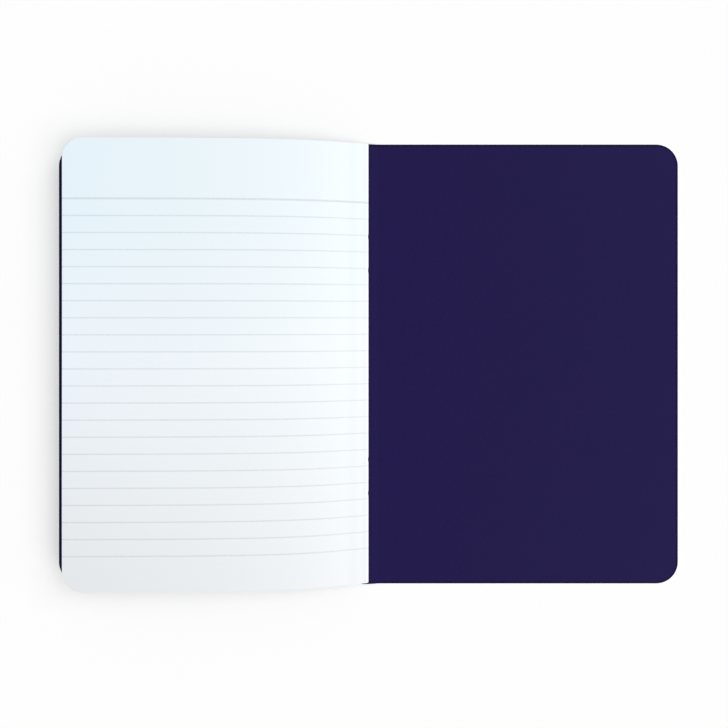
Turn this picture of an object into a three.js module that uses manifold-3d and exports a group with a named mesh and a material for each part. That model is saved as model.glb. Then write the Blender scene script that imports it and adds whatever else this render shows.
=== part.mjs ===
// A5 exercise book, saddle stapled, lying open with every leaf turned to the left.
// Millimetres. X runs across the open book, Y up the page, +Z up from the table.
// The origin is on the table, under the fold and halfway up the page.
import * as THREE from "three";
import { mergeVertices } from "three/addons/utils/BufferGeometryUtils.js";
import Module from "manifold-3d";

const wasm = await Module();
wasm.setup();

// The cover: one card, creased along the spine
const coverWidth = 148;
const coverHeight = 210;
const coverThickness = 0.35;
const coverCorner = 10.5;
const creaseHalfWidth = 0.9;
const frontRamp = 2;
const backRamp = 6;
const panelGap = 0.05;

// The block: folded sheets, each of two leaves
const sheets = 12;
const headTrim = 0.9;
const tailTrim = 2;
const foreEdgeTrim = 1.8;
const leafCorner = 9.5;
const foreEdgeSlant = 6.8;
const paper = 0.08;
const foldedGap = 0.008;
const blockThickness = 10.4;
const archLength = 28;
const settleLength = 7;
const leafRoot = 3.3;
const foldGap = 0.05;
const lieClearance = 0.03;

// The staples: steel wire, its crown under the crease and its tips turned in
const wire = 0.38;
const wireClearance = 0.06;
const crownLength = 16;
const tipLength = 4.6;
const bendRadius = 0.25;
const stapleSpacing = 105.3;
const stapleDrop = 0.3;

// How finely curves are cut into flat faces
const archSteps = 10;
const cornerSteps = 5;
const foldSegments = 10;
const wireSides = 8;
const bendSteps = 4;

// What follows from the sizes above
const leaves = 2 * sheets;
const leafHeight = coverHeight - headTrim - tailTrim;
const leafMiddle = (tailTrim - headTrim) / 2;
const longestLeaf = coverWidth - foreEdgeTrim;
const stapleSlot = wire + 2 * wireClearance;
const creaseRise = wire + 2 * wireClearance;
const coverTop = coverThickness;
const creaseTop = coverTop + creaseRise;
const foldedPitch = paper + foldedGap;
const foreEdgePitch = (blockThickness - paper) / (leaves - 1);
const slotExtra = stapleSlot - foldedGap;
const foldedThickness = (leaves - 1) * foldedPitch + slotExtra + paper;
const outerFoldRadius = foldedThickness / 2;
const creaseX = -outerFoldRadius;
const foldCentreZ = creaseTop + lieClearance + outerFoldRadius;
const shortestLeaf = longestLeaf - foreEdgeSlant;
const frontCrease = creaseX - creaseHalfWidth - frontRamp;
const backCrease = creaseX + creaseHalfWidth + backRamp;
const legHole = wire + 2 * wireClearance;
const stapleCentres = { upper: stapleSpacing / 2 - stapleDrop, lower: -stapleSpacing / 2 - stapleDrop };

const navyCard = new THREE.MeshStandardMaterial({ color: 0x251e4c, roughness: 0.7, metalness: 0 });
const ruledPaper = new THREE.MeshStandardMaterial({ color: 0xf2f6f9, roughness: 0.9, metalness: 0 });
const stapleWire = new THREE.MeshStandardMaterial({ color: 0xb8bbc0, roughness: 0.35, metalness: 1 });

const book = new THREE.Group();

function addPiece(name, geometry, material) {
  const piece = new THREE.Mesh(geometry, material);
  piece.name = name;
  book.add(piece);
}

function indexed(positions, triangles) {
  const geometry = new THREE.BufferGeometry();
  geometry.setAttribute("position", new THREE.Float32BufferAttribute(positions, 3));
  geometry.setIndex(triangles);
  return geometry;
}

// A sheet made of stations across X, each with its lower face, upper face and half height
function stripGeometry(stations, middle) {
  const positions = [];
  const triangles = [];
  const quad = (a, b, c, d) => triangles.push(a, b, c, a, c, d);
  for (const { x, low, high, half } of stations) {
    const foot = middle - half;
    const head = middle + half;
    positions.push(x, foot, low, x, head, low, x, head, high, x, foot, high);
  }
  for (let i = 0; i < stations.length - 1; i += 1) {
    const a = 4 * i;
    const b = a + 4;
    quad(a, a + 1, b + 1, b);
    quad(a + 3, b + 3, b + 2, a + 2);
    quad(a + 1, a + 2, b + 2, b + 1);
    quad(a, b, b + 3, a + 3);
  }
  const end = 4 * (stations.length - 1);
  quad(0, 3, 2, 1);
  quad(end, end + 1, end + 2, end + 3);
  return indexed(positions, triangles);
}

// Distances from the spine and half heights of a sheet's rounded outer corner, spine side first
function cornerStations(width, height, radius) {
  return Array.from({ length: cornerSteps + 1 }, (_, step) => {
    const turn = (step / cornerSteps) * (Math.PI / 2);
    return {
      distance: width - radius + radius * Math.sin(turn),
      half: height / 2 - radius + radius * Math.cos(turn),
    };
  });
}

function toManifold(geometry) {
  const bare = geometry.clone();
  bare.deleteAttribute("normal");
  bare.deleteAttribute("uv");
  const merged = mergeVertices(bare);
  const mesh = new wasm.Mesh({
    numProp: 3,
    vertProperties: new Float32Array(merged.attributes.position.array),
    triVerts: new Uint32Array(merged.index.array),
  });
  return new wasm.Manifold(mesh);
}

function fromManifold(solid) {
  const { vertProperties, triVerts } = solid.getMesh();
  return indexed(Array.from(vertProperties), Array.from(triVerts));
}

// The four upright holes that the staple legs need, from the table up to a height
function pierced(geometry, top) {
  let solid = toManifold(geometry);
  for (const centre of Object.values(stapleCentres)) {
    for (const side of [-1, 1]) {
      const hole = new THREE.CylinderGeometry(legHole / 2, legHole / 2, top, wireSides);
      hole.rotateX(Math.PI / 2);
      hole.translate(creaseX, centre + (side * crownLength) / 2, top / 2);
      solid = solid.subtract(toManifold(hole));
    }
  }
  return fromManifold(solid);
}

// The cover's inner end lies flat, its outer end has the two round corners
function coverPanel(innerX, side) {
  const inner = { distance: Math.abs(innerX), half: coverHeight / 2 };
  const outline = [inner, ...cornerStations(coverWidth, coverHeight, coverCorner)];
  const stations = outline.map(({ distance, half }) => {
    return { x: side * distance, low: 0, high: coverTop, half };
  });
  stations.sort((a, b) => a.x - b.x);
  return stripGeometry(stations, 0);
}

// The creased strip between the panels rides over the staple crowns
function coverSpine() {
  const profile = [
    [frontCrease, 0],
    [creaseX - creaseHalfWidth, creaseRise],
    [creaseX + creaseHalfWidth, creaseRise],
    [backCrease, 0],
  ];
  const stations = profile.map(([x, rise]) => {
    return { x, low: rise, high: rise + coverThickness, half: coverHeight / 2 };
  });
  return pierced(stripGeometry(stations, 0), creaseTop + lieClearance);
}

// How far the block has swelled, from 0 at the folds to 1 at the fore edge
function swell(distance) {
  const grown = 1 - Math.exp((leafRoot - distance) / archLength);
  return grown / (1 - Math.exp((leafRoot - longestLeaf) / archLength));
}

// How much of the crease's rise is left under the leaves, from 1 at the folds to 0
function creaseShare(distance) {
  const along = Math.min((distance - leafRoot) / settleLength, 1);
  return (1 + Math.cos(along * Math.PI)) / 2;
}

// The underside of a leaf, counted from 1 at the front cover
function leafUnderside(number, distance) {
  const grown = swell(distance);
  const pitch = foldedPitch + (foreEdgePitch - foldedPitch) * grown;
  const aboveStaple = number > sheets ? slotExtra * (1 - grown) : 0;
  const lie = coverTop + lieClearance + creaseRise * creaseShare(distance);
  return lie + (number - 1) * pitch + aboveStaple;
}

// Distances where every leaf has a station, closer together where the paper bends most
function archStations() {
  const reach = shortestLeaf - leafCorner - leafRoot;
  const flattest = 1 - Math.exp(-reach / archLength);
  return Array.from({ length: archSteps }, (_, step) => {
    return leafRoot - archLength * Math.log(1 - (step / archSteps) * flattest);
  });
}

function leafGeometry(number) {
  const width = longestLeaf - (foreEdgeSlant * (number - 1)) / (leaves - 1);
  const straight = archStations().map((distance) => ({ distance, half: leafHeight / 2 }));
  const outline = [...straight, ...cornerStations(width, leafHeight, leafCorner)];
  const stations = outline.reverse().map(({ distance, half }) => {
    const low = leafUnderside(number, distance);
    return { x: -distance, low, high: low + paper, half };
  });
  return stripGeometry(stations, leafMiddle);
}

// A sheet's fold: a lying U round the staple tips, open to the left, joining its two leaves
function foldGeometry(sheet) {
  const outer = outerFoldRadius - (sheet - 1) * foldedPitch;
  const inner = outer - paper;
  const armEnd = foldGap - leafRoot;
  const quarter = Math.PI / 2;
  const shape = new THREE.Shape();
  shape.moveTo(armEnd, foldCentreZ - outer);
  shape.lineTo(creaseX, foldCentreZ - outer);
  shape.absarc(creaseX, foldCentreZ, outer, -quarter, quarter, false);
  shape.lineTo(armEnd, foldCentreZ + outer);
  shape.lineTo(armEnd, foldCentreZ + inner);
  shape.lineTo(creaseX, foldCentreZ + inner);
  shape.absarc(creaseX, foldCentreZ, inner, quarter, -quarter, true);
  shape.lineTo(armEnd, foldCentreZ - inner);
  shape.closePath();
  const settings = { depth: leafHeight, bevelEnabled: false, curveSegments: foldSegments };
  const geometry = new THREE.ExtrudeGeometry(shape, settings);
  geometry.rotateX(Math.PI / 2);
  geometry.translate(0, leafMiddle + leafHeight / 2, 0);
  return pierced(geometry, foldCentreZ);
}

// A quarter bend in the plane of the staple, from one heading to the next
function bend(centreY, centreZ, from, to) {
  return Array.from({ length: bendSteps + 1 }, (_, step) => {
    const angle = from + ((to - from) * step) / bendSteps;
    return [centreY + bendRadius * Math.cos(angle), centreZ + bendRadius * Math.sin(angle)];
  });
}

// The wire's middle line, as Y and Z, from one turned-in tip to the other
function staplePath(centre) {
  const crownZ = creaseRise - wireClearance - wire / 2;
  const half = crownLength / 2;
  const rightAngle = Math.PI / 2;
  const side = [
    [half - tipLength, foldCentreZ],
    ...bend(half - bendRadius, foldCentreZ - bendRadius, rightAngle, 0),
    ...bend(half - bendRadius, crownZ + bendRadius, 0, -rightAngle),
  ];
  const other = side.map(([y, z]) => [-y, z]).reverse();
  return [...side, ...other].map(([y, z]) => new THREE.Vector3(creaseX, centre + y, z));
}

// A round wire along a path that lies in a plane square to X
function wireGeometry(path) {
  const across = new THREE.Vector3(1, 0, 0);
  const positions = [];
  const triangles = [];
  path.forEach((point, i) => {
    const before = path[Math.max(i - 1, 0)];
    const after = path[Math.min(i + 1, path.length - 1)];
    const along = after.clone().sub(before).normalize();
    const up = new THREE.Vector3().crossVectors(along, across);
    for (let s = 0; s < wireSides; s += 1) {
      const angle = (2 * Math.PI * (s + 0.5)) / wireSides;
      const rim = point.clone();
      rim.addScaledVector(across, (wire / 2) * Math.cos(angle));
      rim.addScaledVector(up, (wire / 2) * Math.sin(angle));
      positions.push(rim.x, rim.y, rim.z);
    }
  });
  for (let i = 0; i < path.length - 1; i += 1) {
    for (let s = 0; s < wireSides; s += 1) {
      const next = (s + 1) % wireSides;
      const a = i * wireSides + s;
      const b = i * wireSides + next;
      triangles.push(a, b, a + wireSides, b, b + wireSides, a + wireSides);
    }
  }
  const last = (path.length - 1) * wireSides;
  for (let s = 1; s < wireSides - 1; s += 1) {
    triangles.push(0, s + 1, s, last, last + s, last + s + 1);
  }
  return indexed(positions, triangles);
}

const twoDigits = (number) => String(number).padStart(2, "0");

addPiece("front_cover", coverPanel(frontCrease - panelGap, -1), navyCard);
addPiece("cover_spine", coverSpine(), navyCard);
addPiece("back_cover", coverPanel(backCrease + panelGap, 1), navyCard);
for (let sheet = 1; sheet <= sheets; sheet += 1) {
  addPiece(`sheet_fold_${twoDigits(sheet)}`, foldGeometry(sheet), ruledPaper);
}
for (let number = 1; number <= leaves; number += 1) {
  addPiece(`leaf_${twoDigits(number)}`, leafGeometry(number), ruledPaper);
}
for (const [name, centre] of Object.entries(stapleCentres)) {
  addPiece(`staple_${name}`, wireGeometry(staplePath(centre)), stapleWire);
}

export default book;
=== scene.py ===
# %% [markdown]
# # An exercise book in Blender
# The book lies open on a white table. Its leaves are all turned to the left, and the inside
# of the back cover lies bare on the right. The packed model gives the places and most sizes.
# This lesson makes each piece again as a fine surface, gives it a finish, and lights it.

# %% Loading the frame
import math

import bpy
import numpy as np
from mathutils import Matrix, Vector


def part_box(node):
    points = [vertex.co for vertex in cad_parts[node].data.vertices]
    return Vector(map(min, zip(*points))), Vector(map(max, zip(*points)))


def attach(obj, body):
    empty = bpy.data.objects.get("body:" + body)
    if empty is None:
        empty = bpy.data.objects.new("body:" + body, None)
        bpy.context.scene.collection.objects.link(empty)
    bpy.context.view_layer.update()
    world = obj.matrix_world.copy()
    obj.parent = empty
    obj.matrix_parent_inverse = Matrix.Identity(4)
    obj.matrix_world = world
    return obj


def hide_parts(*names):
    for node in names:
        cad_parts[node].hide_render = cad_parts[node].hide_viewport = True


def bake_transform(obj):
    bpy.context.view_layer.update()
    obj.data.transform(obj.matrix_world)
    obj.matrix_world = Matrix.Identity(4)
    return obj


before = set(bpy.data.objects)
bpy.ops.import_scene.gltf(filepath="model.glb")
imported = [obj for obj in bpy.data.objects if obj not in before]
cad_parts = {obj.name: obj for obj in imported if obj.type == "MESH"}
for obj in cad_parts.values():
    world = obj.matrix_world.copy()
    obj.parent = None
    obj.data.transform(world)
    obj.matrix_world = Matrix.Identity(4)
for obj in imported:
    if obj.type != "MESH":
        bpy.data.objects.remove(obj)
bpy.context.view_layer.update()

MM = 0.001
LEAVES = sorted(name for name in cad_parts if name.startswith("leaf_"))
FOLDS = sorted(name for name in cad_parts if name.startswith("sheet_fold_"))
STAPLES = ("staple_upper", "staple_lower")
print("leaves", len(LEAVES), "folds", len(FOLDS))

# %% [markdown]
# ## The camera
# The book is seen straight from above. A near camera makes the top page, which lies higher
# than the cover, look slightly larger, as a real lens does. It stands a little towards the
# head of the book, so the lens is shifted down to keep the book in the middle.

# %% Camera over the open book
PHOTO_WIDTH = 728
BOOK_FOLD_COLUMN = 368.4
METRES_A_PIXEL = 0.4775 * MM
PICTURE_WIDTH = PHOTO_WIDTH * METRES_A_PIXEL
CAMERA_HEIGHT = 216 * MM
CAMERA_ABOVE_MIDDLE = 21 * MM
SENSOR = 36
NEAR_CLIP = 1 * MM

camera_data = bpy.data.cameras.new("camera")
camera_data.sensor_width = SENSOR
camera_data.lens = SENSOR * CAMERA_HEIGHT / PICTURE_WIDTH
camera_data.shift_y = -CAMERA_ABOVE_MIDDLE / PICTURE_WIDTH
camera_data.clip_start = NEAR_CLIP
camera = bpy.data.objects.new("camera", camera_data)
bpy.context.scene.collection.objects.link(camera)
camera.location = (
    (PHOTO_WIDTH / 2 - BOOK_FOLD_COLUMN) * METRES_A_PIXEL,
    CAMERA_ABOVE_MIDDLE,
    CAMERA_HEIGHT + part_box("back_cover")[1][2],
)
bpy.context.scene.camera = camera
print("lens", round(camera_data.lens, 2), "mm")

# %% [markdown]
# ## A helper for shader nodes
# A material is a tree of nodes. Written out in full, each node takes several lines, so a
# small class makes one node a call: its type, what goes into it, and its settings.

# %% One call a node


class Maker:
    """Adds nodes to a tree. An input that is given a socket is joined to it, and an input
    that is given any other value holds that value."""

    def __init__(self, tree):
        self.tree = tree

    def node(self, kind, inputs=(), **settings):
        """A node of that kind, with its inputs by name or number and its settings by name."""
        made = self.tree.nodes.new(f"ShaderNode{kind}")
        for name, value in settings.items():
            setattr(made, name, value)
        for key, value in dict(inputs).items():
            if isinstance(value, bpy.types.NodeSocket):
                self.tree.links.new(value, made.inputs[key])
            else:
                made.inputs[key].default_value = value
        return made

    def math(self, operation, *values):
        """The result of one operation on one, two or three values."""
        return self.node("Math", enumerate(values), operation=operation).outputs[0]

    def smooth(self, value, low, high):
        """0 below low, 1 above high and a smooth step between them."""
        spans = {"Value": value, "From Min": low, "From Max": high}
        return self.node("MapRange", spans, interpolation_type="SMOOTHSTEP").outputs["Result"]

    def span(self, value, low, high):
        """0 at low, 1 at high, even between them and held beyond them."""
        spans = {"Value": value, "From Min": low, "From Max": high}
        return self.node("MapRange", spans).outputs["Result"]

    def between(self, share, low, high):
        """Low at a share of 0, high at a share of 1 and even between them."""
        spans = {"Value": share, "To Min": low, "To Max": high}
        return self.node("MapRange", spans).outputs["Result"]

    def ramp(self, value, stops):
        """A colour that passes evenly through each stop's colour at its share."""
        node = self.node("ValToRGB", {"Fac": value})
        steps = node.color_ramp.elements
        for _ in stops[2:]:
            steps.new(1.0)
        for step, (share, colour) in zip(steps, stops):
            step.position = share
            step.color = colour
        return node.outputs["Color"]

    def noise(self, vector, scale, detail):
        """Soft noise of about 0 to 1, with that many finer layers."""
        inputs = {"Vector": vector, "Scale": scale, "Detail": detail}
        return self.node("TexNoise", inputs).outputs["Fac"]


print("Maker's calls", [call for call in vars(Maker) if not call.startswith("_")])

# %% [markdown]
# ## Light and table
# Plain studio light: an even white sky, and two wide soft lamps on the right, one towards the
# head of the book and one towards its foot. They brighten the page where it rises out of the
# fold, and leave a soft shadow on its left, above it and below it. Together with the sky they
# light a level surface to exactly the colour that it is painted. The table looks white, but it
# throws less light back, so that the shadows beside the pages stay clear.

# %% Sky, lamps and table
SKY_LIGHT = 0.54
LAMP_SPREAD = math.radians(40)
LAMP_ELEVATION = math.radians(38)
LAMP_AZIMUTHS = {"head": math.radians(29), "foot": math.radians(-29)}
TABLE_WHITE = 0.99
TABLE_BOUNCE = 0.5
TABLE_HALF = 2.0
TABLE_DROP = 0.02 * MM


def seen_directly(make):
    """1 for rays from the camera, in mirrors and through glass, and 0 for light that is on
    its way between surfaces."""
    path = make.node("LightPath").outputs
    mirrored = make.math("MAXIMUM", path["Is Glossy Ray"], path["Is Transmission Ray"])
    return make.math("MAXIMUM", path["Is Camera Ray"], mirrored)


def add_sky():
    """An even sky of SKY_LIGHT that is seen as pure white."""
    world = bpy.data.worlds.new("sky")
    bpy.context.scene.world = world
    world.use_nodes = True
    make = Maker(world.node_tree)
    background = world.node_tree.nodes["Background"]
    background.inputs["Color"].default_value = (1, 1, 1, 1)
    strength = make.between(seen_directly(make), SKY_LIGHT, 1.0)
    world.node_tree.links.new(strength, background.inputs["Strength"])


def add_lamp(name, azimuth):
    """A sun as wide as LAMP_SPREAD that adds, on a level surface, its part of what the sky
    leaves out: a level surface takes the sine of the elevation of a sun's strength."""
    lamp = bpy.data.lights.new(name, "SUN")
    lamp.angle = LAMP_SPREAD
    lamp.energy = (1 - SKY_LIGHT) / len(LAMP_AZIMUTHS) * math.pi / math.sin(LAMP_ELEVATION)
    piece = bpy.data.objects.new(name, lamp)
    bpy.context.scene.collection.objects.link(piece)
    piece.rotation_euler = (0, math.pi / 2 - LAMP_ELEVATION, azimuth)


def add_table():
    """A level square just under the cover, TABLE_HALF each way, seen as TABLE_WHITE."""
    corners = [(-1, -1), (1, -1), (1, 1), (-1, 1)]
    points = [(TABLE_HALF * x, TABLE_HALF * y, -TABLE_DROP) for x, y in corners]
    mesh = bpy.data.meshes.new("table")
    mesh.from_pydata(points, [], [(0, 1, 2, 3)])
    table = bpy.data.objects.new("table", mesh)
    bpy.context.scene.collection.objects.link(table)
    material = bpy.data.materials.new("table_white")
    material.use_nodes = True
    make = Maker(material.node_tree)
    shader = material.node_tree.nodes["Principled BSDF"]
    white = make.between(seen_directly(make), TABLE_BOUNCE, TABLE_WHITE)
    material.node_tree.links.new(white, shader.inputs["Base Color"])
    shader.inputs["Roughness"].default_value = 1.0
    shader.inputs["Specular IOR Level"].default_value = 0.0
    mesh.materials.append(material)


add_sky()
for side, azimuth in LAMP_AZIMUTHS.items():
    add_lamp(f"lamp_{side}", azimuth)
add_table()
bpy.context.scene.view_settings.view_transform = "Standard"
print("lamps", len(LAMP_AZIMUTHS))

# %% [markdown]
# ## Shader groups
# Each effect is a node group with named inputs: the mottle and grain of paper fibres, a
# printed ruling, and painted shade that darkens a rounded sheet along its edge. A group gives
# out plain numbers, and each material decides what they change.

# %% Making a group, and the paper fibres
FIBRE_STRETCH = (1.0, 0.35, 1.0)
MOTTLE_DETAIL = 4.0
FIBRE_DETAIL = 6.0


def new_group(name, inputs, outputs):
    """A node group with number inputs and outputs of those names, and a Maker for it."""
    group = bpy.data.node_groups.new(name, "ShaderNodeTree")
    for way, labels in (("INPUT", inputs), ("OUTPUT", outputs)):
        for label in labels:
            group.interface.new_socket(label, in_out=way, socket_type="NodeSocketFloat")
    make = Maker(group)
    return group, make, make.node("TexCoord"), group.nodes.new("NodeGroupInput").outputs


def close_group(group, results):
    """Joins each named result to the group's output of that name."""
    end = group.nodes.new("NodeGroupOutput")
    for label, socket in results.items():
        group.links.new(socket, end.inputs[label])


def fibre_group():
    """Mottle is slow cloudiness, and Fibre is fine grain drawn out along the page."""
    group, make, place, given = new_group(
        "paper_fibres", ("Mottle Scale", "Fibre Scale"), ("Mottle", "Fibre")
    )
    drawn_out = make.node("Mapping", {"Vector": place.outputs["Object"], "Scale": FIBRE_STRETCH})
    mottle = make.noise(place.outputs["Object"], given["Mottle Scale"], MOTTLE_DETAIL)
    fibre = make.noise(drawn_out.outputs[0], given["Fibre Scale"], FIBRE_DETAIL)
    close_group(group, {"Mottle": mottle, "Fibre": fibre})
    return group


FIBRES = fibre_group()
print("group", FIBRES.name)

# %% Printed ruling
HALF_STEP = 0.5


def ruling_group():
    """Line is 1 on a printed line: where Y, counted down from First in steps of Pitch, is
    within half a Width of a whole number from 1 to Last. Header is 1 within half a Header
    Width of the number 0. HALF_STEP tells one whole number from the next."""
    group, make, place, given = new_group(
        "ruling", ("First", "Pitch", "Last", "Width", "Header Width"), ("Line", "Header")
    )
    split = make.node("SeparateXYZ", {"Vector": place.outputs["Object"]})
    down = make.math("SUBTRACT", given["First"], split.outputs["Y"])
    steps = make.math("DIVIDE", down, given["Pitch"])
    number = make.math("ROUND", steps)
    away = make.math("ABSOLUTE", make.math("SUBTRACT", steps, number))
    distance = make.math("MULTIPLY", away, given["Pitch"])
    on_line = make.math("LESS_THAN", distance, make.math("DIVIDE", given["Width"], 2.0))
    past_header = make.math("GREATER_THAN", number, HALF_STEP)
    up_to_last = make.math("LESS_THAN", number, make.math("ADD", given["Last"], HALF_STEP))
    line = make.math("MULTIPLY", on_line, make.math("MULTIPLY", past_header, up_to_last))
    half_header = make.math("DIVIDE", given["Header Width"], 2.0)
    on_header = make.math("LESS_THAN", distance, half_header)
    header = make.math("MULTIPLY", on_header, make.math("COMPARE", number, 0.0, HALF_STEP))
    close_group(group, {"Line": line, "Header": header})
    return group


RULING = ruling_group()
print("group", RULING.name)

# %% Painted shade along the edge of a rounded sheet
EDGE_SHADE_NOISE_SCALE = 150.0
EDGE_SHADE_NOISE_DETAIL = 3.0
EDGE_SHADE_NOISE_SHARE = 0.3
EDGE_SHADE_STARTS, EDGE_SHADE_FULL = 0.1, 0.95


def depth_inside(make, position, given):
    """How far a place lies inside a rounded rectangle round the middle of the book: the
    corner radius less the distance to the rectangle shrunk by that radius."""
    corner = given["Corner"]
    past = []
    for axis, half in (("X", "Half Width"), ("Y", "Half Height")):
        from_middle = make.math("ABSOLUTE", position[axis])
        past.append(make.math("SUBTRACT", from_middle, make.math("SUBTRACT", given[half], corner)))
    outside = [make.math("MAXIMUM", distance, 0.0) for distance in past]
    squares = [make.math("MULTIPLY", distance, distance) for distance in outside]
    length = make.math("SQRT", make.math("ADD", *squares))
    inside = make.math("MINIMUM", make.math("MAXIMUM", *past), 0.0)
    return make.math("SUBTRACT", corner, make.math("ADD", length, inside))


def painted_edge_group():
    """Painted shade that rises from 0 to 1 over Reach towards the outline of a rounded
    rectangle. Slow noise makes it uneven."""
    group, make, place, given = new_group(
        "painted_edge_shade", ("Half Width", "Half Height", "Corner", "Reach"), ("Painted Shade",)
    )
    split = make.node("SeparateXYZ", {"Vector": place.outputs["Object"]})
    depth = depth_inside(make, split.outputs, given)
    share = make.math("SUBTRACT", 1.0, make.math("DIVIDE", depth, given["Reach"]))
    noise = make.noise(place.outputs["Object"], EDGE_SHADE_NOISE_SCALE, EDGE_SHADE_NOISE_DETAIL)
    uneven = make.math("ADD", share, make.math("MULTIPLY", noise, EDGE_SHADE_NOISE_SHARE))
    close_group(group, {"Painted Shade": make.smooth(uneven, EDGE_SHADE_STARTS, EDGE_SHADE_FULL)})
    return group


PAINTED_EDGE_SHADE = painted_edge_group()
print("group", PAINTED_EDGE_SHADE.name)

# %% [markdown]
# ## Finishes
# The paper is a cool white with grey printed lines, the first of them heavier. It is made
# greyer towards the foot with painted shade and brighter towards the fold with painted light.
# The card is a deep matt navy with a fine tooth, darkened along its outline with painted shade,
# and its cut edge is pale. The staples are bright drawn wire. A picture could be laid on each
# surface instead, but these finishes are worked out from the place alone, so they stay sharp
# at any distance and need no unwrapping.

# %% Colours and materials


def linear(*srgb):
    """An sRGB colour of 0 to 255 as the linear colour that a shader takes, by the formula of
    the sRGB standard: a straight line for dark shares and a power curve above it."""
    share = np.array(srgb) / 255
    low, high = share / 12.92, ((share + 0.055) / 1.055) ** 2.4
    return (*np.where(share <= 0.04045, low, high), 1.0)


def new_material(name):
    """A material, a Maker for its nodes, and its shader."""
    material = bpy.data.materials.new(name)
    material.use_nodes = True
    return material, Maker(material.node_tree), material.node_tree.nodes["Principled BSDF"]


def place_group(make, group, **values):
    """A group in a material, its inputs set by names with underscores for spaces."""
    node = make.node("Group", node_tree=group)
    for name, value in values.items():
        node.inputs[name.replace("_", " ")].default_value = value
    return node.outputs


def mixed(make, share, first, second, way="MIX"):
    """The colour that lies that share of the way from the first to the second, or, by the
    way MULTIPLY, from the first to the product of both."""
    node = make.node("Mix", data_type="RGBA", blend_type=way)
    for key, value in (("Factor", share), ("A", first), ("B", second)):
        socket = next(s for s in node.inputs if s.name == key and s.enabled)
        if isinstance(value, bpy.types.NodeSocket):
            make.tree.links.new(value, socket)
        else:
            socket.default_value = value
    return next(s for s in node.outputs if s.enabled)


def set_surface(make, shader, fibre, roughness, grain, specular):
    """Roughness between two values and a bump of that depth and strength, both by the
    fibres, and a specular level."""
    rough = make.between(fibre, *roughness)
    make.tree.links.new(rough, shader.inputs["Roughness"])
    depth, strength = grain
    bump = make.node("Bump", {"Height": fibre, "Distance": depth, "Strength": strength})
    make.tree.links.new(bump.outputs["Normal"], shader.inputs["Normal"])
    shader.inputs["Specular IOR Level"].default_value = specular


print("sRGB 128 is", round(float(linear(128)[0]), 3), "in linear light")

# %% Ruled paper
PAGE_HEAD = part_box(LEAVES[0])[1][1]
PAGE_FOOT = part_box(LEAVES[0])[0][1]
FORE_EDGE = -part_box(LEAVES[-1])[0][0]
FIRST_LINE_DROP = 27.75 * MM
LINE_PITCH = 7.76 * MM
LAST_LINE = 21
LINE_WIDTH = 0.6 * MM
HEADER_WIDTH = 0.9 * MM
LINE_INK = (0.84, 0.84, 0.84, 1.0)
HEADER_INK = (0.82, 0.82, 0.82, 1.0)
INK_TAKEN = (0.1, 0.55)
INK_AT_FOLD = 0.7
INK_FADE_REACH = 28 * MM
PAPER_COOL = linear(229, 242, 249)
PAPER_CLEAR = linear(236, 243, 249)
# Painted shade: the paper turns towards this greyer colour at the foot.
PAPER_FOOT_SHADE = linear(228, 231, 233)
# Painted light: this brighter colour is mixed in towards the fold.
PAPER_FOLD_LIGHT = linear(243, 247, 249)
FOOT_SHADE_TO, CLEAR_AT, COOL_FROM = 0.05, 0.55, 0.85
FOLD_LIGHT_SHARE = 0.62
MOTTLE_DRIFT = 0.06
PAPER_MOTTLE_SCALE = 45.0
PAPER_FIBRE_SCALE = 2600.0
PAPER_ROUGHNESS = (0.78, 0.92)
PAPER_GRAIN = (0.01 * MM, 0.35)
PAPER_SPECULAR = 0.25


def paper_tone_and_painted_light(make, position, fibres):
    """Grey at the foot as painted shade, clear in the middle and cool at the head, the steps
    drifting with the mottle, and up to a set share of brighter paper mixed in evenly towards
    the fold as painted light."""
    up_page = make.span(position["Y"], PAGE_FOOT, PAGE_HEAD)
    up_page = make.math("ADD", up_page, make.math("MULTIPLY", fibres["Mottle"], MOTTLE_DRIFT))
    # The stop at the foot is painted shade.
    stops = [(FOOT_SHADE_TO, PAPER_FOOT_SHADE), (CLEAR_AT, PAPER_CLEAR), (COOL_FROM, PAPER_COOL)]
    tone = make.ramp(up_page, stops)
    # Painted light: brighter towards the fold.
    to_fold = make.span(make.math("ABSOLUTE", position["X"]), FORE_EDGE, 0.0)
    return mixed(make, make.math("MULTIPLY", to_fold, FOLD_LIGHT_SHARE), tone, PAPER_FOLD_LIGHT)


def with_lines(make, position, fibres, paper):
    """The paper's colour times the ink's on the printed lines, where the fibres take the ink.
    All but the header fade evenly to INK_AT_FOLD over INK_FADE_REACH towards the fold."""
    ruling = place_group(
        make, RULING, First=PAGE_HEAD - FIRST_LINE_DROP, Pitch=LINE_PITCH,
        Last=LAST_LINE, Width=LINE_WIDTH, Header_Width=HEADER_WIDTH,
    )
    ink = make.smooth(fibres["Fibre"], *INK_TAKEN)
    from_fold = make.math("ABSOLUTE", position["X"])
    fade = make.between(make.span(from_fold, 0.0, INK_FADE_REACH), INK_AT_FOLD, 1.0)
    line = make.math("MULTIPLY", ruling["Line"], make.math("MULTIPLY", ink, fade))
    printed = mixed(make, line, paper, LINE_INK, "MULTIPLY")
    header = make.math("MULTIPLY", ruling["Header"], ink)
    return mixed(make, header, printed, HEADER_INK, "MULTIPLY")


def paper_material():
    """Cool white paper with fine grain and a printed ruling."""
    material, make, shader = new_material("ruled_paper")
    fibres = place_group(
        make, FIBRES, Mottle_Scale=PAPER_MOTTLE_SCALE, Fibre_Scale=PAPER_FIBRE_SCALE
    )
    place = make.node("TexCoord").outputs["Object"]
    position = make.node("SeparateXYZ", {"Vector": place}).outputs
    paper = paper_tone_and_painted_light(make, position, fibres)
    colour = with_lines(make, position, fibres, paper)
    make.tree.links.new(colour, shader.inputs["Base Color"])
    set_surface(make, shader, fibres["Fibre"], PAPER_ROUGHNESS, PAPER_GRAIN, PAPER_SPECULAR)
    return material


RULED_PAPER = paper_material()
print("material", RULED_PAPER.name)

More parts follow.
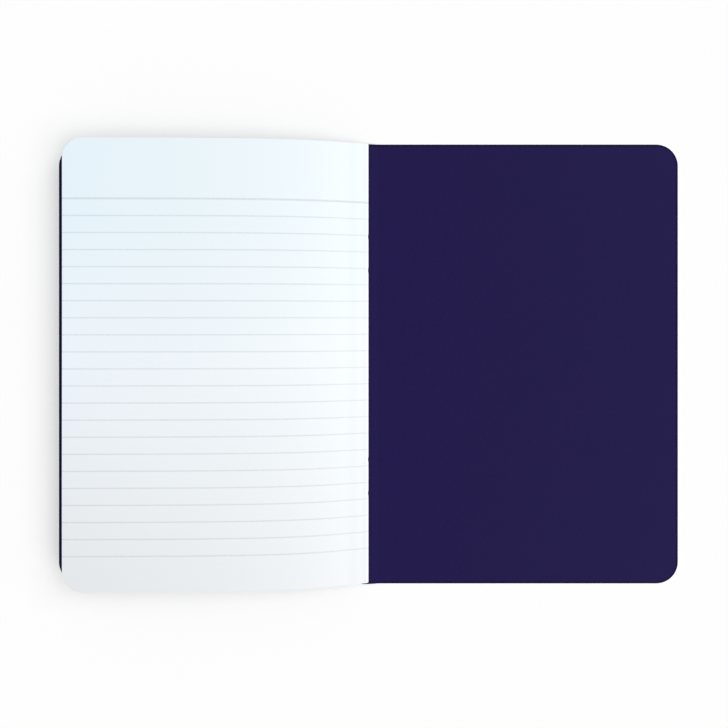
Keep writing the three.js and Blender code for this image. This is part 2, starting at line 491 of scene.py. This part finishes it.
# %% Navy card and its cut edge
COVER_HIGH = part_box("back_cover")[1]
COVER_WIDTH = COVER_HIGH[0]
COVER_HALF_HEIGHT = COVER_HIGH[1]
COVER_THICKNESS = COVER_HIGH[2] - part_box("back_cover")[0][2]
COVER_CORNER = 10.5 * MM
NAVY = linear(32, 25, 72)
NAVY_LIGHT = linear(38, 30, 78)
# Painted shade: the card darkens towards this colour along its outline.
NAVY_SHADED = linear(12, 8, 34)
EDGE_SHADE_REACH = 1.6 * MM
EDGE_SHADE_SHARE = 0.9
CARD_MOTTLE_SCALE = 30.0
CARD_FIBRE_SCALE = 1700.0
TOOTH_SPAN = (0.35, 0.75)
TOOTH_SHARE = 0.5
CLOUD_SHARE = 0.25
CARD_ROUGHNESS = (0.55, 0.75)
CARD_GRAIN = (0.02 * MM, 0.5)
CARD_SPECULAR = 0.03
CORE_FIBRE_SCALE = 4000.0
CORE_DULL = linear(226, 226, 232)
CORE_PALE = linear(250, 250, 252)
CORE_ROUGHNESS = 0.9


def card_material():
    """Matt navy card: a fine tooth and slow clouds of lighter navy, and painted shade that
    darkens it along its outline."""
    material, make, shader = new_material("navy_card")
    fibres = place_group(
        make, FIBRES, Mottle_Scale=CARD_MOTTLE_SCALE, Fibre_Scale=CARD_FIBRE_SCALE
    )
    edge = place_group(
        make, PAINTED_EDGE_SHADE, Half_Width=COVER_WIDTH, Half_Height=COVER_HALF_HEIGHT,
        Corner=COVER_CORNER, Reach=EDGE_SHADE_REACH,
    )
    tooth = make.math("MULTIPLY", make.smooth(fibres["Fibre"], *TOOTH_SPAN), TOOTH_SHARE)
    tone = make.math("ADD", tooth, make.math("MULTIPLY", fibres["Mottle"], CLOUD_SHARE))
    navy = mixed(make, tone, NAVY, NAVY_LIGHT)
    # Painted shade: darker towards the card's outline.
    shade_share = make.math("MULTIPLY", edge["Painted Shade"], EDGE_SHADE_SHARE)
    colour = mixed(make, shade_share, navy, NAVY_SHADED)
    make.tree.links.new(colour, shader.inputs["Base Color"])
    set_surface(make, shader, fibres["Fibre"], CARD_ROUGHNESS, CARD_GRAIN, CARD_SPECULAR)
    return material


def core_material():
    """The cut edge of the card: pale board between the two navy faces."""
    material, make, shader = new_material("card_cut_edge")
    fibres = place_group(make, FIBRES, Fibre_Scale=CORE_FIBRE_SCALE)
    colour = mixed(make, fibres["Fibre"], CORE_DULL, CORE_PALE)
    make.tree.links.new(colour, shader.inputs["Base Color"])
    shader.inputs["Roughness"].default_value = CORE_ROUGHNESS
    return material


NAVY_CARD = card_material()
CARD_CORE = core_material()
print("materials", NAVY_CARD.name, CARD_CORE.name)

# %% Staple wire
STREAK_STRETCH = (9000.0, 300.0, 9000.0)
STREAK_DETAIL = 3.0
WIRE_DULL = linear(176, 178, 184)
WIRE_BRIGHT = linear(214, 215, 219)
WIRE_ROUGHNESS = (0.22, 0.4)


def wire_material():
    """Bright metal with streaks drawn out along the crown."""
    material, make, shader = new_material("staple_wire")
    place = make.node("TexCoord").outputs["Object"]
    drawn = make.node("Mapping", {"Vector": place, "Scale": STREAK_STRETCH})
    streak = make.noise(drawn.outputs[0], 1.0, STREAK_DETAIL)
    colour = mixed(make, streak, WIRE_DULL, WIRE_BRIGHT)
    make.tree.links.new(colour, shader.inputs["Base Color"])
    rough = make.between(streak, *WIRE_ROUGHNESS)
    make.tree.links.new(rough, shader.inputs["Roughness"])
    shader.inputs["Metallic"].default_value = 1.0
    return material


STAPLE_WIRE = wire_material()
print("material", STAPLE_WIRE.name)

# %% [markdown]
# ## Thin sheets
# A leaf and a cover are the same kind of thing: a lower and an upper surface over one grid,
# closed by a rim. So one helper takes two grids of points and makes the closed body.

# %% Closing two grids into one body
SHARP_ANGLE = math.radians(35)


def add_piece(name, points, quads, materials, face_materials=None):
    """An object from arrays of points and quads, shaded smooth up to SHARP_ANGLE."""
    mesh = bpy.data.meshes.new(name)
    mesh.from_pydata(points, [], quads)
    for material in materials:
        mesh.materials.append(material)
    if face_materials is not None:
        mesh.polygons.foreach_set("material_index", face_materials)
    mesh.shade_smooth()
    mesh.set_sharp_from_angle(angle=SHARP_ANGLE)
    piece = bpy.data.objects.new(name, mesh)
    bpy.context.scene.collection.objects.link(piece)
    return piece


def grid_quads(index):
    """Quads over a grid of point numbers, turning from its rows towards its columns."""
    corners = index[:-1, :-1], index[1:, :-1], index[1:, 1:], index[:-1, 1:]
    return np.stack([c.ravel() for c in corners], axis=1)


def border(index):
    """The grid's outer point numbers as one ring, in the turning sense of grid_quads."""
    return np.concatenate([index[:-1, 0], index[-1, :-1], index[:0:-1, -1], index[0, :0:-1]])


def sheet_body(name, lower, upper, materials, rim_material=0):
    """A closed body from two grids of points whose first axis runs along +X and whose second
    runs along +Y: the upper grid, the lower one turned over, and a rim of quads."""
    shape = upper.shape[:2]
    top = np.arange(shape[0] * shape[1]).reshape(shape)
    bottom = top + top.size
    ring_top, ring_bottom = border(top), border(bottom)
    rim = np.stack([ring_bottom, np.roll(ring_bottom, -1), np.roll(ring_top, -1), ring_top], axis=1)
    faces = np.concatenate([grid_quads(top), grid_quads(bottom)[:, ::-1], rim])
    points = np.concatenate([upper.reshape(-1, 3), lower.reshape(-1, 3)])
    slots = np.zeros(len(faces), int)
    slots[-len(rim):] = rim_material
    return add_piece(name, points, faces, materials, slots)


def half_height(distance, width, half, corner):
    """Half the height of a sheet with round outer corners, at a distance from the spine:
    within a corner radius of the outer edge it follows the circle."""
    past = np.clip(distance - (width - corner), 0, corner)
    return half - corner + np.sqrt(corner ** 2 - past ** 2)


def corner_distances(width, corner, steps):
    """Distances through the corner, even in angle, so that the arc stays round."""
    return width - corner + corner * np.sin(np.linspace(0, math.pi / 2, steps))


print("rim of a 3 by 3 grid", border(np.arange(9).reshape(3, 3)))

# %% [markdown]
# ## The leaves
# Pressed flat at the fold and full of air at the fore edge, the block swells quickly at
# first and then levels off: as 1 less an exponential. Each leaf follows that curve between
# its own two ends, which are read from the packed model. Real leaves never lie evenly, so
# each may keep closer to the leaf below it or above it, within the air between them. All of
# them dip together in faint waves. Each runs on into its fold, almost up to the staples. A
# cloth simulation could drop the leaves too, but curves keep their ends where the model has them.

# %% The leaves' ends
SAME_PLACE = 0.001 * MM
UNEVEN = 0.36


def node_points(name):
    """The points of a solid of the packed model."""
    return np.array([v.co[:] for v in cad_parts[name].data.vertices])


def leaf_ends(name):
    """A leaf's distance from the spine and its underside's height, at its fold and fore edge."""
    points = node_points(name)
    root = points[points[:, 0].argmax()]
    tip = points[points[:, 0].argmin()]
    root_low = points[points[:, 0] > root[0] - SAME_PLACE][:, 2].min()
    tip_low = points[points[:, 0] < tip[0] + SAME_PLACE][:, 2].min()
    return -root[0], root_low, -tip[0], tip_low


ENDS = {name: leaf_ends(name) for name in LEAVES}
LEAF_ROOT = ENDS[LEAVES[0]][0]
LONGEST_LEAF = ENDS[LEAVES[0]][2]
LIE = ENDS[LEAVES[0]][3]
CREASE_RISE = ENDS[LEAVES[0]][1] - LIE
PAPER = node_points(LEAVES[0])[:, 2].max() - ENDS[LEAVES[0]][1]
LEAF_PITCH = (ENDS[LEAVES[-1]][3] - ENDS[LEAVES[0]][3]) / (len(LEAVES) - 1)
shuffle = np.random.default_rng(seed=5)
LIFTS = dict(zip(LEAVES, shuffle.uniform(-UNEVEN, UNEVEN, len(LEAVES)) * (LEAF_PITCH - PAPER)))
LIFTS[LEAVES[0]] = LIFTS[LEAVES[-1]] = 0.0
print("leaf thickness", round(PAPER / MM, 3), "mm, pitch", round(LEAF_PITCH / MM, 3), "mm")

# %% The swell, the waves and the slope at the folds
ARCH_LENGTH = 28 * MM
SETTLE_LENGTH = 7 * MM
WAVE_DIP = 0.02
WAVE_ACROSS, ACROSS_START = 19 * MM, 1.3
WAVE_ALONG, ALONG_START = 31 * MM, 0.4
ARM_SLOPE = 0.4
FOLD_LOW, FOLD_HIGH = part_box(FOLDS[0])
FOLD_ARM = -FOLD_LOW[0]
FOLD_NOSE = FOLD_HIGH[0]
FOLD_MIDDLE = (FOLD_LOW[2] + FOLD_HIGH[2]) / 2


def swell(distance):
    """0 at the fold and 1 at the longest leaf's edge, as 1 - exp(-distance / ARCH_LENGTH)."""
    grown = 1 - np.exp((LEAF_ROOT - distance) / ARCH_LENGTH)
    return grown / (1 - math.exp((LEAF_ROOT - LONGEST_LEAF) / ARCH_LENGTH))


def crease_share(distance):
    """1 at the fold, falling on half a cosine wave to 0 over SETTLE_LENGTH."""
    along = np.clip((distance - LEAF_ROOT) / SETTLE_LENGTH, 0, 1)
    return (1 + np.cos(along * math.pi)) / 2


def waviness(distance, along):
    """The share of its swell by which the block dips: one slow wave across another, from 0
    to WAVE_DIP."""
    across_wave = np.sin(distance / WAVE_ACROSS + ACROSS_START)
    waves = across_wave * np.sin(along / WAVE_ALONG + ALONG_START)
    return WAVE_DIP * (1 + waves) / 2


def arm_drop(x, height):
    """How far the paper above the middle of the folds comes down towards it: ARM_SLOPE times
    its height over that middle, growing evenly from the arms' ends to the folds' nose."""
    share = np.maximum((x + FOLD_ARM) / (FOLD_NOSE + FOLD_ARM), 0)
    return ARM_SLOPE * share * np.maximum(height - FOLD_MIDDLE, 0)


print("swell at 50 mm", round(float(swell(50 * MM)), 3))

# %% One closed body for each leaf
LEAF_CORNER = 9.5 * MM
PAGE_START = 1.6 * MM
HINGE_LENGTH = 1.2 * MM
HINGE_COLUMNS = 18
ARCH_COLUMNS = 28
CORNER_COLUMNS = 12
LEAF_ROWS = 36


def leaf_underside(name, distance, along):
    """The height of a leaf's underside: its fold's height times what is left of the fold,
    and its fore edge's height and lift times the swell, less the waves' share, on top of the
    cover and the crease's rise. Inside its root it runs level, less the arms' drop."""
    _, root_low, width, tip_low = ENDS[name]
    tip_share = swell(width)
    at_fold = root_low - LIE - CREASE_RISE
    at_edge = (tip_low - LIE - at_fold * (1 - tip_share)) / tip_share + LIFTS[name]
    outer = np.maximum(distance, LEAF_ROOT)
    grown = swell(outer)
    height = at_fold * (1 - grown) + at_edge * grown * (1 - waviness(outer, along))
    height += LIE + CREASE_RISE * crease_share(outer)
    return height - arm_drop(-distance, height)


def leaf_columns(width):
    """Distances from PAGE_START to the fore edge: even over HINGE_LENGTH next to the fold,
    then even in the swell, then round the corner."""
    hinge = np.linspace(PAGE_START, PAGE_START + HINGE_LENGTH, HINGE_COLUMNS)
    reach = width - LEAF_CORNER
    start, end = 1 - np.exp(-hinge[-1] / ARCH_LENGTH), 1 - np.exp(-reach / ARCH_LENGTH)
    arch = -ARCH_LENGTH * np.log(1 - np.linspace(start, end, ARCH_COLUMNS))
    corner = corner_distances(width, LEAF_CORNER, CORNER_COLUMNS)
    return np.concatenate([hinge[:-1], arch[:-1], corner])


def add_leaf(name):
    """A leaf as two grids, its underside and the same surface one paper thickness higher."""
    width = ENDS[name][2]
    distance = leaf_columns(width)[::-1, None]
    middle = (PAGE_HEAD + PAGE_FOOT) / 2
    half = half_height(distance, width, (PAGE_HEAD - PAGE_FOOT) / 2, LEAF_CORNER)
    along = middle + half * np.linspace(-1, 1, LEAF_ROWS)[None, :]
    distance = np.broadcast_to(distance, along.shape)
    low = leaf_underside(name, distance, along)
    lower = np.stack([-distance, along, low], axis=2)
    upper = np.stack([-distance, along, low + PAPER], axis=2)
    piece = sheet_body(f"page_{name[-2:]}", lower, upper, [RULED_PAPER])
    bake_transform(piece)
    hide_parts(name)


for leaf in LEAVES:
    add_leaf(leaf)
print("leaves", len(LEAVES), "from", round(PAGE_START / MM, 2), "mm")

# %% [markdown]
# ## The folds
# Each sheet turns back on itself at the spine. Seen from the end it is a lying U: an arm, a
# half circle round the staple tips and an arm. Its leaves take over from the arms just past
# the staples. The upper arms slope down towards the spine. The U is a profile, and it runs up
# the page.

# %% Folded spine of each sheet
FOLD_ARC_STEPS = 24
FOLD_ROWS = 9
PAGE_GAP = 0.02 * MM
PULL = 0.2 * MM
PULL_REACH = 0.9 * MM
LEG_ROWS = 9
LEG_ROWS_REACH = 2.5
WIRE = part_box(STAPLES[0])[1][0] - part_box(STAPLES[0])[0][0]


def leg_places(name):
    """Where a staple's two legs pass through the folds, along Y."""
    low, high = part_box(name)
    return low[1] + WIRE / 2, high[1] - WIRE / 2


LEG_PLACES = [place for name in STAPLES for place in leg_places(name)]


def fold_profile(centre_x, centre_z, radius):
    """Points of one side of the U: the lower arm, a half circle of that radius and the upper
    arm, both arms ending PAGE_GAP from the pages."""
    angle = np.linspace(-math.pi / 2, math.pi / 2, FOLD_ARC_STEPS)
    arc = np.stack([centre_x + radius * np.cos(angle), centre_z + radius * np.sin(angle)], axis=1)
    lower = [[PAGE_GAP - PAGE_START, centre_z - radius]]
    upper = [[PAGE_GAP - PAGE_START, centre_z + radius]]
    return np.concatenate([lower, arc, upper])


def fold_places(ends):
    """Places along Y between two ends: even, with more round each staple leg."""
    spread = np.linspace(-LEG_ROWS_REACH, LEG_ROWS_REACH, LEG_ROWS) * PULL_REACH
    near = [leg + spread for leg in LEG_PLACES]
    return np.sort(np.concatenate([np.linspace(ends[0], ends[1], FOLD_ROWS), *near]))


def pull(along):
    """How far the legs draw the fold in at a place: a bell curve round each leg."""
    away = (along[:, None] - np.array(LEG_PLACES)[None, :]) / PULL_REACH
    return PULL * np.exp(-away ** 2).sum(axis=1)


def profile_grid(profile, ends):
    """The profile's points carried along Y, less the arms' drop. Near a leg the points are
    drawn in, by the pull times the square of their share of the way out to the nose."""
    along = fold_places(ends)
    out = (profile[:, :1] + PAGE_START) / (FOLD_NOSE + PAGE_START)
    grid = np.empty((len(profile), len(along), 3))
    grid[:, :, 0] = profile[:, :1] - out ** 2 * pull(along)[None, :]
    grid[:, :, 1] = along[None, :]
    grid[:, :, 2] = profile[:, 1:] - arm_drop(profile[:, :1], profile[:, 1:])
    return grid


def add_fold(name):
    """A fold as two grids: the U's outer side, and its inner side one paper thickness in."""
    low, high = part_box(name)
    radius = (high[2] - low[2]) / 2
    centre_x, centre_z = high[0] - radius, (high[2] + low[2]) / 2
    outer = fold_profile(centre_x, centre_z, radius)
    inner = fold_profile(centre_x, centre_z, radius - PAPER)
    outer, inner = (profile_grid(side, (low[1], high[1])) for side in (outer, inner))
    piece = sheet_body(f"fold_{name[-2:]}", outer, inner, [RULED_PAPER])
    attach(piece, "front")
    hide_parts(name)


for fold in FOLDS:
    add_fold(fold)
print("folds", len(FOLDS))

# %% [markdown]
# ## The cover
# One card runs under the leaves, over the staples and out to the right. It lies flat but for
# the crease along the spine, which rises over the staples. The cut edge slopes in, as a
# knife leaves it, which shows as a thin pale rim. The real cover is one card, so it is one
# mesh that bends at the crease, and not two boards on a hinge.

# %% The creased card
CUT_SLOPE = 0.25 * MM
CREASE_X = -(FOLD_HIGH[2] - FOLD_LOW[2]) / 2
SPINE_LOW, SPINE_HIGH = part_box("cover_spine")
SPINE_RISE = SPINE_HIGH[2] - COVER_THICKNESS
PLATEAU_HALF = 0.9 * MM
COVER_ROWS = 48
CREASE_REACH = 8 * MM
CREASE_COLUMNS = 49
PANEL_COLUMNS = 24
COVER_CORNER_COLUMNS = 14


def cover_underside(x):
    """The crease's plateau over the staples, sloping to the table on both sides on half a
    cosine wave."""
    left = np.clip((CREASE_X - PLATEAU_HALF - x) / (CREASE_X - PLATEAU_HALF - SPINE_LOW[0]), 0, 1)
    right = np.clip((x - CREASE_X - PLATEAU_HALF) / (SPINE_HIGH[0] - CREASE_X - PLATEAU_HALF), 0, 1)
    return SPINE_RISE * (1 + np.cos(math.pi * np.maximum(left, right))) / 2


def cover_grid(inset):
    """Points of a cover outline drawn in by an inset, columns packed at the crease and corners."""
    width, corner = COVER_WIDTH - inset, COVER_CORNER - inset
    corners = corner_distances(width, corner, COVER_CORNER_COLUMNS)
    panel = np.linspace(CREASE_REACH, width - corner, PANEL_COLUMNS)
    right = np.concatenate([panel[:-1], corners])
    crease = np.linspace(-CREASE_REACH, CREASE_REACH, CREASE_COLUMNS)
    x = np.concatenate([-right[::-1], crease[1:-1], right])[:, None]
    half = half_height(np.abs(x), width, COVER_HALF_HEIGHT - inset, corner)
    y = half * np.linspace(-1, 1, COVER_ROWS)[None, :]
    return np.broadcast_to(x, y.shape), y


def add_cover():
    """The card as two grids, the upper one drawn in by CUT_SLOPE, with a pale rim between
    them."""
    x_low, y_low = cover_grid(0)
    x_high, y_high = cover_grid(CUT_SLOPE)
    lower = np.stack([x_low, y_low, cover_underside(x_low)], axis=2)
    upper = np.stack([x_high, y_high, cover_underside(x_high) + COVER_THICKNESS], axis=2)
    piece = sheet_body("cover_card", lower, upper, [NAVY_CARD, CARD_CORE], rim_material=1)
    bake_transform(piece)
    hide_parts("front_cover", "cover_spine", "back_cover")


add_cover()
print("cover", round(COVER_WIDTH / MM, 1), "by", round(2 * COVER_HALF_HEIGHT / MM, 1), "mm")

# %% [markdown]
# ## The staples
# Round wire along a path of straight runs and quarter bends: in from one tip, down a leg,
# along the crown under the cover, up the other leg and in to the other tip. A ring of points
# is carried along the path, which closes more cleanly than joined cylinders would.

# %% Bent wire
WIRE_SIDES = 16
BEND_RADIUS = 0.25 * MM
BEND_STEPS = 7
TIP_LENGTH = 4.6 * MM


def quarter(centre_y, centre_z, start):
    """A quarter circle from an angle, turning clockwise."""
    angle = np.linspace(start, start - math.pi / 2, BEND_STEPS)
    y = centre_y + BEND_RADIUS * np.cos(angle)
    z = centre_z + BEND_RADIUS * np.sin(angle)
    return np.stack([y, z], axis=1)


def staple_path(half, crown_z, tip_z):
    """One side's tip, bend, leg and bend, and its mirror image in reverse."""
    tip = np.array([[half - TIP_LENGTH, tip_z]])
    upper = quarter(half - BEND_RADIUS, tip_z - BEND_RADIUS, math.pi / 2)
    lower = quarter(half - BEND_RADIUS, crown_z + BEND_RADIUS, 0)
    side = np.concatenate([tip, upper, lower])
    return np.concatenate([side, side[::-1] * (-1, 1)])


def wire_rings(path, centre_x, centre_y, radius):
    """A ring of points round each point of a path in Y and Z. Each ring stands square to the
    path: its points swing by the cosine of their angle along X and by the sine across it."""
    along = np.gradient(path, axis=0)
    along /= np.linalg.norm(along, axis=1)[:, None]
    angle = np.linspace(0, 2 * math.pi, WIRE_SIDES, endpoint=False)
    ring = np.empty((len(path), WIRE_SIDES, 3))
    ring[:, :, 0] = centre_x + radius * np.cos(angle)
    ring[:, :, 1] = centre_y + path[:, :1] - radius * np.sin(angle) * along[:, 1:]
    ring[:, :, 2] = path[:, 1:] + radius * np.sin(angle) * along[:, :1]
    return ring


def add_staple(name):
    """A staple of the size and place of its solid: rings joined by quads, and two caps."""
    low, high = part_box(name)
    radius = (high[0] - low[0]) / 2
    half = (high[1] - low[1]) / 2 - radius
    path = staple_path(half, low[2] + radius, high[2] - radius)
    ring = wire_rings(path, (low[0] + high[0]) / 2, (low[1] + high[1]) / 2, radius)
    index = np.arange(len(path) * WIRE_SIDES).reshape(len(path), WIRE_SIDES)
    index = np.concatenate([index, index[:, :1]], axis=1)
    quads = grid_quads(index)
    caps = [index[0, :-1].tolist(), index[-1, -2::-1].tolist()]
    piece = add_piece(f"wire_{name}", ring.reshape(-1, 3), quads.tolist() + caps, [STAPLE_WIRE])
    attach(piece, "front")
    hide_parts(name)


for staple in STAPLES:
    add_staple(staple)
print("staples", len(STAPLES))

# %% [markdown]
